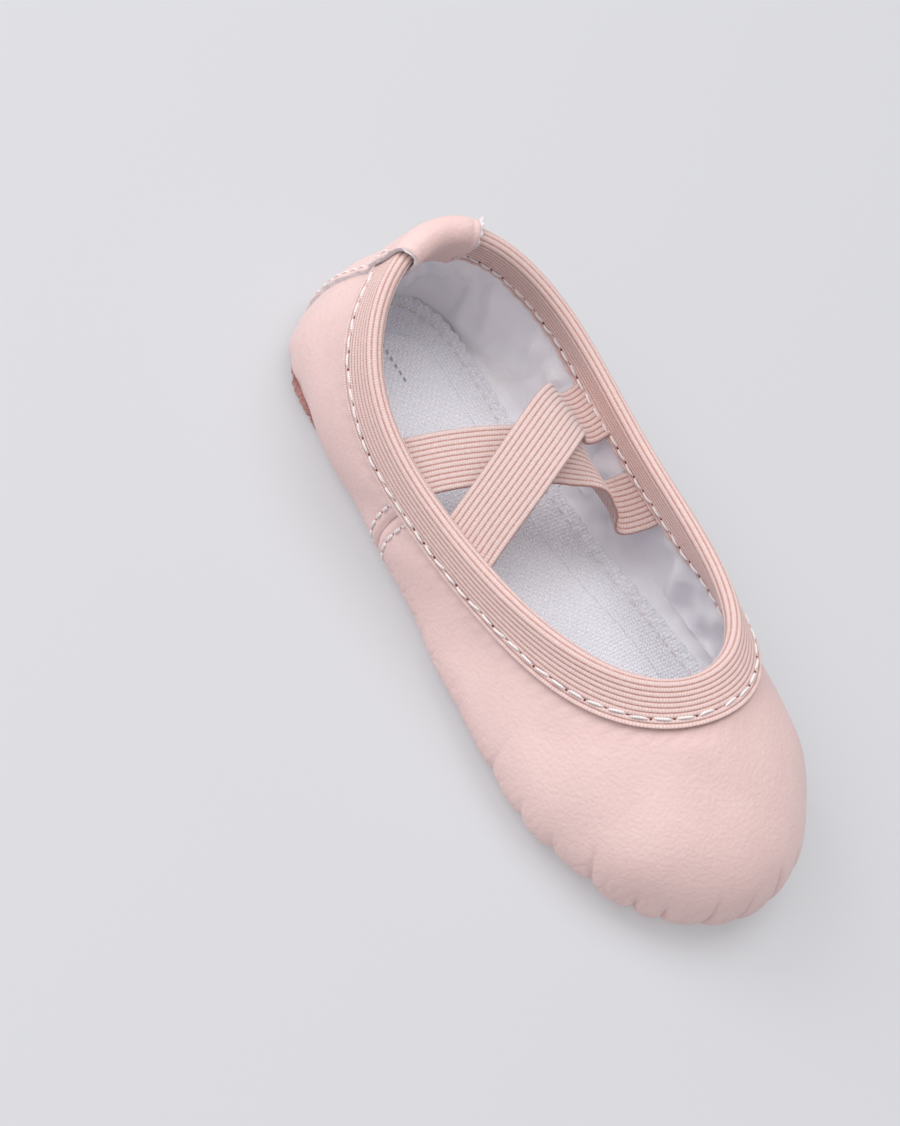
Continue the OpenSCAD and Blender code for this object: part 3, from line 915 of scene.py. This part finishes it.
def suede_patch(name, patch, node, body, turn_up, flare):
    """A patch with its two stitch rows; its edge is turned up and stands out by flare."""
    columns, rows = 640, 96
    a = np.linspace(0, 2 * math.pi, columns, endpoint=False)[:, None]
    r = np.linspace(0, 1, rows)[None, :] ** 0.8
    rim = patch_line(a, patch, 0)
    flat = middle(a, patch[0], 16) * (1 - column(r)) + rim * column(r)
    inset = np.linalg.norm(rim - flat, axis=-1)
    # ragged cut edge, rounded over, and slightly turned up against the leather
    way = sideways(lambda q: patch_line(q, patch, 0), a)
    ragged = 0.16 * waves(rim, 2.6, 41) + 0.14 * waves(rim, 1.1, 42) + flare
    flat = flat + way * column(ragged * smooth(1 - inset / 3))
    curl = turn_up * smooth(1 - inset / 4) * (0.75 + 0.4 * waves(rim, 9, 43))
    round_off = 0.45 * smooth(1 - inset / 0.7)
    rowed = sum(0.75 * mound(inset, row, 0.55) for row in PATCH_ROWS)
    nap = 0.07 * waves(flat, 1.6, 44, count=24) + 0.05 * waves(flat, 4, 45)
    z = 0.08 + rowed + curl + round_off + np.abs(nap) * smooth(inset)
    bottom = flat + UP * column(z)
    top = flat + UP * column(SUEDE + 0.15 * smooth(1 - inset) + 0.6 * curl)
    uv = np.concatenate([flat, flat[:1]], 0)[..., :2]
    obj = shell(name, bottom, top, [suede], uv, ring=True, sharp=70)
    finish_piece(obj, [node], body)
    grid = np.concatenate([bottom, bottom[:1]], 0)
    at = np.arange(columns + 1)
    for distance, label in zip(PATCH_ROWS, ("outer", "inner")):
        row = np.array([np.interp(distance, inset[i][::-1], np.arange(rows)[::-1]) for i in range(columns)])
        row = np.append(row, row[0])
        far = distances(sample(grid, at, row))
        count = int(far[-1] / STITCH_PITCH)
        s = np.arange(count) * far[-1] / count
        starts, ends = (
            sample(grid, i, np.interp(i, at, row)) for i in (np.interp(s + d, far, at) for d in (0.5, 3.2))
        )
        down = np.tile(-UP, (count, 1))
        stitching = f"{node}_{label}_stitching"
        sew(stitching + "_thread", stitching, starts, ends, down, 0.3, 0.16, body)
        end_holes(stitching + "_holes", starts, ends, down, 0.45, body)


suede_patch("forefoot_suede", FORE_PATCH, "forefoot_sole", None, 0.5, 0.0)
suede_patch("heel_suede", HEEL_PATCH, "heel_sole", "heel", 1.6, 1.4)

# stitches along the arch seam, where the turned-under leather meets
for name, low, high in (("vamp_arch", -17.0, 2.0), ("quarter_arch", -43.0, -24.0)):
    x = np.concatenate([np.arange(low, high, STITCH_PITCH)] * 2)
    y = np.repeat([-ARCH_ROW, ARCH_ROW], len(x) // 2)
    starts = np.stack([x, y, 0 * x + LEATHER_Z - 0.05], -1)
    down = np.tile(-UP, (len(x), 1))
    sew(name + "_thread", name + "_stitching", starts, starts + [2.9, 0, 0], down, 0.3, 0.2)

# ---------------------------------------------------------------- topline binding

BINDING_GAP = 0.3
OUT_FACE = -BINDING_GAP
IN_FACE = LINING_IN + BINDING_GAP


def reversed_rows(grid):
    return grid[:, ::-1]


def leg(a, drop, depth, steps):
    low = v_below(a, drop)
    v = low[:, None] + (1 - low[:, None]) * np.linspace(0, 1, steps)[None, :]
    return skin(a[:, None], v, depth)


def fold(a, near, far, lift, steps):
    """Half round over the topline, from depth near to depth far."""
    turn = np.linspace(0, math.pi, steps)[None, :, None]
    middle_depth, radius = (near + far) / 2, (far - near) / 2
    across = wall_normal(a, 1 + 0 * a)[:, None]
    upward = -unit(top_down(a))[:, None]
    return topline(a)[:, None] - across * (middle_depth - radius * np.cos(turn)) + upward * (
        lift + radius * np.sin(turn)
    )


def folded(a, drop_out, drop_in, near, far, lift):
    """Outer leg, fold and inner leg of a strip over the topline, as one grid of points."""
    leg_rows, fold_rows = 24, 17
    out = leg(a, drop_out, near, leg_rows)
    back = reversed_rows(leg(a, drop_in, far, leg_rows))
    return np.concatenate([out, fold(a, near, far, lift, fold_rows)[:, 1:-1], back], 1)


def ribs(share, count, height):
    """Height of a ribbed face at share 0 to 1 across it."""
    return height * (np.abs(np.sin(math.pi * share * count)) ** 0.55 - 0.5)


def binding_piece():
    stations, rows = 840, BINDING_RIBS * 6 + 1
    # stations evenly spaced along the topline
    fine = np.linspace(0, 2 * math.pi, 4001)
    line = run(topline(fine)[:, None], 0)[:, 0]
    far = np.linspace(0, line[-1], stations, endpoint=False)
    a = np.interp(far, line, fine)
    pucker = np.sin(2 * math.pi * far / 4.0)
    wander = waves(topline(a), 14, 51)
    mid = folded(a, BINDING_DROP, BINDING_DROP - 0.4, OUT_FACE - ELASTIC / 2, IN_FACE + ELASTIC / 2, GAP)
    mid = np.stack([even(line_across, rows) for line_across in mid])
    normals = grid_normals(mid, True)
    share = np.linspace(0, 1, rows)[None, :]
    across = run(mid, 1)
    total = across[:, -1:]
    rib = ribs(share, BINDING_RIBS, 0.26) + 0 * across
    # the stitched row is pulled in, and the free inner edge ripples
    outer_row = mound(across, BINDING_ROW, 0.8)
    inner_row = mound(total - across, BINDING_ROW, 0.9)
    edge_in = smooth(1 - (total - across) / 5)
    lift = rib - 0.22 * (outer_row + inner_row) * (0.75 + 0.25 * pucker[:, None])
    lift = lift + 0.16 * smooth(1 - across / 1.2)
    lift = lift + edge_in * (0.3 + 0.12 * pucker[:, None] + 0.3 * wander[:, None])
    outer = mid + normals * column(ELASTIC / 2 + lift)
    inner = mid - normals * (ELASTIC / 2)
    length = np.append(far, line[-1])
    uv = np.stack(np.broadcast_arrays(length[:, None], share * BINDING_RIBS), -1)
    obj = shell("binding_ribbed", outer, inner, [binding_elastic], uv, ring=True, sharp=75)
    finish_piece(obj, ["topline_binding"])
    # running stitch outside and inside, a little uneven, with the painted shade of a needle hole between
    # two stitches
    grid = np.concatenate([outer, outer[:1]], 0)
    ups = grid_normals(outer, True)
    ups = np.concatenate([ups, ups[:1]], 0)
    starts, ends, upward, pricks = [], [], [], []
    # none under the heel strip
    clear = math.pi - STRIP_HALF - math.radians(1.5)
    rng = np.random.default_rng(12)
    for outside in (True, False):
        s = np.arange(0.6, line[-1] - 4, 4.1)
        wobble = rng.uniform(-0.24, 0.24, (len(s), 2))
        for k, first in enumerate(s):
            angle = np.interp(first, line, fine)
            if clear < angle < 2 * math.pi - clear:
                continue
            i = np.array([first, first + 3.3, first + 3.7]) / line[-1] * stations
            widths = across[min(int(i[0]), stations - 1)]
            at = BINDING_ROW + np.append(wobble[k], wobble[k, 1])
            j = np.interp(at if outside else widths[-1] - at, widths, np.arange(rows))
            points = sample(grid, i, j)
            starts.append(points[0])
            ends.append(points[1])
            pricks.append(points[2])
            upward.append(sample(ups, i[:1], j[:1])[0])
    starts, ends, upward = np.array(starts), np.array(ends), unit(np.array(upward))
    sew("binding_thread", "binding_stitching", starts, ends, upward, 0.34, 0.4, sink=0.1)
    needle_holes("binding_thread_holes", np.array(pricks), upward, ends - starts)


binding_piece()

# ---------------------------------------------------------------- heel strip and tab


def heel_strip_piece():
    columns, wall_rows, turned_rows = 84, 90, 26
    middle_row, last_sewn_row = 40, 84
    a = math.pi + STRIP_HALF * np.linspace(-1, 1, columns)
    over = OUT_FACE - ELASTIC - BINDING_GAP
    under_in = IN_FACE + ELASTIC + BINDING_GAP

    def path(depth):
        low = v_below(a, BINDING_DROP + 3)
        v = np.linspace(0.05, 1, wall_rows)[None, :] + 0 * a[:, None]
        share = smooth((v - low[:, None]) / 0.06)
        out = skin(a[:, None], v, (1 - share) * -GAP + share * over - depth)
        near, far = over - depth, under_in + depth
        bend = fold(a, near, far, 2 * GAP + ELASTIC, turned_rows)[:, 1:-1]
        return np.concatenate([out, bend, reversed_rows(leg(a, TAB_DROP, far, turned_rows))], 1)

    outer, inner = path(LEATHER), path(0)
    normals = grid_normals(outer)
    side = np.minimum(run(outer, 0), run(outer, 0)[-1:] - run(outer, 0))
    lift = 0.14 * waves(outer, 9, 61) - 0.18 * smooth(1 - side / 0.7) ** 2
    lift = lift - 0.15 * mound(side, STRIP_ROW, 0.6)
    outer = outer + normals * column(lift)
    # ragged cut along both edges
    along_y = unit(outer[-1] - outer[0])
    fray = 0.1 * waves(outer[0], 1.6, 62) + 0.12 * waves(outer[0], 5, 63)
    for grid in (outer, inner):
        grid[0] = grid[0] - along_y * column(fray)
        grid[-1] = grid[-1] + along_y * column(fray)
    uv = np.stack([run(outer, 0), run(outer, 1)], -1)
    obj = shell("heel_strip_leather", outer, inner, [leather, raw_edge], uv, rim=1, sharp=60)
    finish_piece(obj, ["heel_strip"], "heel")
    # frayed white edge of the tab's backing, at both of its ends
    strip = slice(wall_rows - 12, outer.shape[1] - 4)
    for label, first, sign in (("right", 0, -1), ("left", -1, 1)):
        base = outer[first, strip] * 0.35 + inner[first, strip] * 0.65
        way = along_y[strip] * sign
        face = normals[first, strip]
        steps = np.linspace(-1.5, 1, 8)
        loose = 0.75 + 0.25 * waves(base, 1.5, 64) + 0.2 * waves(base, 0.7, 65)
        loose = loose * (1.0 if sign < 0 else 0.5)
        out = base[None] + way[None] * (steps[:, None] * loose[None])[..., None]
        past = np.clip(steps, 0, 1)[:, None]
        curl = 0.35 * past * (1 + waves(base, 2.2, 66))[None]
        high = out + face[None] * column(0.32 - 0.1 * past + curl)
        low = out - face[None] * column(0.32 - 0.2 * past - curl)
        grids = (high, low) if sign > 0 else (high[::-1], low[::-1])
        obj = shell(f"tab_raw_edge_{label}", *grids, [raw_edge])
        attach(obj, "heel")
    # stitches up both edges
    rows = np.arange(outer.shape[1])
    first = np.interp(STRIP_ROW, run(outer, 0)[:, middle_row], np.arange(columns))
    parts = []
    for i in (first, columns - 1 - first):
        far = distances(sample(outer, i + 0.0 * rows, rows))
        s = np.arange(4, far[last_sewn_row], STITCH_PITCH)
        i = i + 0 * s
        j0, j1 = np.interp(s, far, rows), np.interp(s + 2.9, far, rows)
        normal = sample(grid_normals(outer), i, (j0 + j1) / 2)
        parts.append((sample(outer, i, j0), sample(outer, i, j1), normal))
    starts, ends, ups = (np.concatenate(x) for x in zip(*parts))
    sew("heel_strip_thread", "heel_strip_stitching", starts, ends, unit(ups), 0.28, 0.25, "heel")


heel_strip_piece()

# ---------------------------------------------------------------- straps


def strap_pieces(body, path, seed):
    """A ribbed band on a smooth path, split at its middle into two halves.

    The CAD node that it replaces has the name given as body.
    """
    count, bend = 260, 60
    centre = spline(path, count)
    tangent = unit(np.gradient(centre, axis=0))
    lengthways = np.array([1.0, 0.0, 0.0])
    width_way = unit(lengthways - tangent * (tangent @ lengthways)[:, None])
    t = np.linspace(0, 1, count)[:, None]
    end = 1 - smooth(np.minimum(t, 1 - t) / 0.12)
    width_way = unit(width_way * (1 - 0.7 * end) + lengthways * 0.7 * end)
    normal = unit(np.cross(width_way, tangent))
    normal = normal * np.sign(normal[count // 2, 2])
    rows = STRAP_RIBS * 8 + 1
    w = np.linspace(-0.5, 0.5, rows)
    width = STRAP_WIDTH * (1 + 0.05 * end)
    cup = 0.5 * (4 * w**2) * (1 - end) * (0.6 + 0.4 * np.sin(t * 9 + seed))
    mid = centre[:, None] + width_way[:, None] * (width * w)[..., None] - normal[:, None] * column(cup)
    ridge = ribs(w + 0.5, STRAP_RIBS, 0.24)
    thin = 1 - 0.25 * smooth((np.abs(w) - 0.47) / 0.03)
    half_depth = normal[:, None] * column((ELASTIC / 2 + ridge) * thin + 0 * t)
    high, low = mid + half_depth, mid - half_depth
    far = np.linspace(0, np.linalg.norm(np.diff(centre, axis=0), axis=1).sum(), count)
    uv = np.stack(np.broadcast_arrays(far[:, None], (w + 0.5)[None, :] * STRAP_RIBS), -1)
    # outer and inner are told apart by the way the grid turns
    half = count // 2
    turned = np.cross(tangent[half], width_way[half]) @ normal[half] < 0
    for label, pick, sewn, free in (
        ("rear", slice(0, half + 1), 0, bend),
        ("front", slice(half, count), -1, -1 - bend),
    ):
        grids = (low[pick], high[pick]) if turned else (high[pick], low[pick])
        obj = shell(f"{body}_band_{label}", *grids, [strap_elastic], uv[pick], sharp=75)
        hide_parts(body)
        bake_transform(obj)


# control points from the rear end to the front end, with the ends tucked under the binding
strap_pieces(
    "over_strap",
    [(-31, 31.2, 31), (-31, 30.2, 26.5), (-30.8, 26.5, 24.5), (-30.2, 20, 29), (-29, 13, 38.5),
     (-27, 6.5, 44.5), (-22.5, -3, 45), (-17.5, -13, 41), (-12.5, -23, 34.5), (-9, -29.6, 29.5),
     (-8.4, -31.2, 27)],
    seed=1.0,
)
strap_pieces(
    "under_strap",
    [(-34, -31.2, 27), (-33.5, -28.5, 29), (-31, -18, 31), (-26.5, -5, 33), (-20.5, 7, 34.5),
     (-16, 13.5, 33.5), (-12.5, 18, 27), (-10, 21, 21), (-8, 24.5, 19.5), (-6.3, 28.5, 22.5),
     (-5.6, 30.4, 27), (-5.4, 31, 31)],
    seed=2.5,
)

# ---------------------------------------------------------------- floor, light and camera


def make_floor():
    mesh = bpy.data.meshes.new("floor")
    half = 6.0
    corners = [(-half, -half, 0), (half, -half, 0), (half, half, 0), (-half, half, 0)]
    mesh.from_pydata(corners, [], [(0, 1, 2, 3)])
    mesh.materials.append(floor_material())
    floor = bpy.data.objects.new("floor", mesh)
    COLLECTION.objects.link(floor)


def make_light(name, location, size, power):
    """A round soft light, in metres and watts, turned to the slipper."""
    target = (0, 0, 0.02)
    data = bpy.data.lights.new(name, "AREA")
    data.shape = "DISK"
    data.size = size
    data.energy = power
    light = bpy.data.objects.new(name, data)
    light.location = location
    light.rotation_euler = (Vector(target) - Vector(location)).to_track_quat("-Z", "Y").to_euler()
    COLLECTION.objects.link(light)


def make_camera(target, azimuth, elevation, roll, distance, lens):
    """Camera at a distance from a target, both in millimetres, with its angles in degrees."""
    a, e, r = (math.radians(x) for x in (azimuth, elevation, roll))
    back = Vector((math.sin(a) * math.cos(e), -math.cos(a) * math.cos(e), math.sin(e)))
    right = Vector((math.cos(a), math.sin(a), 0))
    level_up = back.cross(right)
    up = level_up * math.cos(r) + right * math.sin(r)
    side = up.cross(back)
    data = bpy.data.cameras.new("camera")
    data.lens = lens
    data.sensor_width = 36
    data.clip_start, data.clip_end = 0.05, 20
    camera = bpy.data.objects.new("camera", data)
    COLLECTION.objects.link(camera)
    place = Vector(target) * MM + back * distance * MM
    turn = Matrix((side, up, back)).transposed().to_4x4()
    camera.matrix_world = Matrix.Translation(place) @ turn
    bpy.context.scene.camera = camera


make_floor()
make_light("key", (-0.25, 0.3, 1.7), 1.2, 11.5)
make_light("fill", (-0.4, -0.85, 1.4), 1.3, 8.8)
make_light("rim", (-1.15, -0.6, 0.95), 0.9, 9)

world = bpy.data.worlds.new("studio")
world.use_nodes = True
background = world.node_tree.nodes["Background"]
background.inputs["Color"].default_value = (0.93, 0.94, 0.96, 1)
background.inputs["Strength"].default_value = 0.52
bpy.context.scene.world = world
bpy.context.scene.view_settings.view_transform = "Standard"

make_camera(
    target=(-11.2, -26.4, 20.0), azimuth=22.22, elevation=53.02, roll=-39.6, distance=740.9, lens=101.6
)
